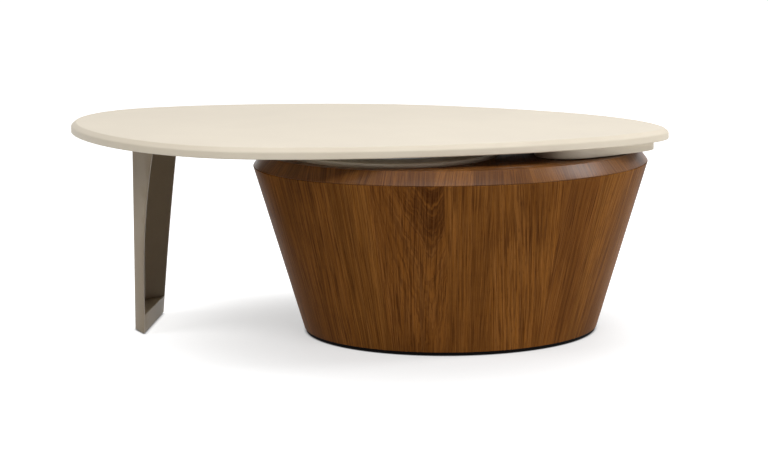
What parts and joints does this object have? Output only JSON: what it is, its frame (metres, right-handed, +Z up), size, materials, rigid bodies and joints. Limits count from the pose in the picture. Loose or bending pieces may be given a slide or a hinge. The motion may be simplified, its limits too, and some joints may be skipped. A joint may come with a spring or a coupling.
{
  "type": "swivel coffee table",
  "caption": "Low coffee table: an egg-shaped lacquered top swivels on a tapered oval veneered drum and carries a folded metal leg.",
  "frame": {"origin": "on the floor under the middle of the top as it stands at rest", "axes": "+X along the top towards the narrow end of the egg, +Y across the top towards the back of the pictured view, +Z up"},
  "size_m": [1.205, 0.6982, 0.411],
  "materials": {
    "cream_lacquer": "satin cream lacquer on board",
    "walnut_veneer": "satin lacquered walnut-coloured veneer",
    "black_board": "black stained board",
    "plain_board": "raw plywood and beech",
    "bronze_paint": "satin bronze powder coat",
    "zinc_steel": "zinc plated steel",
    "brass": "plain turned brass",
    "white_nylon": "moulded nylon",
    "black_nylon": "moulded black nylon",
    "grey_felt": "pressed wool felt"
  },
  "bodies": {
    "drum": {"drum_wall": "walnut_veneer", "drum_rim": "walnut_veneer", "drum_deck": "walnut_veneer", "drum_floor": "plain_board", "plinth": "black_board", "drum_rib_1": "plain_board", "drum_rib_2": "plain_board", "drum_rib_3": "plain_board", "pivot_block": "plain_board", "rim_dowels": "plain_board", "deck_screws": "zinc_steel", "plinth_screws": "zinc_steel", "disc_screws": "zinc_steel", "base_glides": "black_nylon", "swivel_disc": "cream_lacquer", "lower_race": "zinc_steel", "lower_race_screws": "zinc_steel", "pivot_bush": "white_nylon", "slip_washer": "white_nylon", "stop_studs": "zinc_steel"},
    "cage": {"ball_cage": "white_nylon", "bearing_balls": "zinc_steel"},
    "top": {"top_panel": "cream_lacquer", "upper_race": "zinc_steel", "upper_race_screws": "zinc_steel", "pivot_spindle": "zinc_steel", "spindle_screws": "zinc_steel", "spindle_washer": "zinc_steel", "lock_nut": "zinc_steel", "support_block": "cream_lacquer", "block_screws": "zinc_steel", "block_felts": "grey_felt", "leg_shell": "bronze_paint", "leg_foot": "bronze_paint", "leg_base_plate": "bronze_paint", "leg_top_plate": "bronze_paint", "leg_screws": "zinc_steel", "leg_inserts": "brass", "leg_glides": "black_nylon"}
  },
  "joints": [
    {"name": "top_swivel", "type": "hinge", "parent": "drum", "child": "top", "pos_m": [0.05543, -0.07472, 0.3815], "axis": [0, 0, 1], "range_deg": [-90, 90]},
    {"name": "cage_turn", "type": "hinge", "parent": "drum", "child": "cage", "pos_m": [0.05543, -0.07472, 0.3815], "axis": [0, 0, 1], "range_deg": [-45, 45]}
  ],
  "couplings": [
    {"joint": "cage_turn", "follows": "top_swivel", "ratio": 0.5}
  ]
}
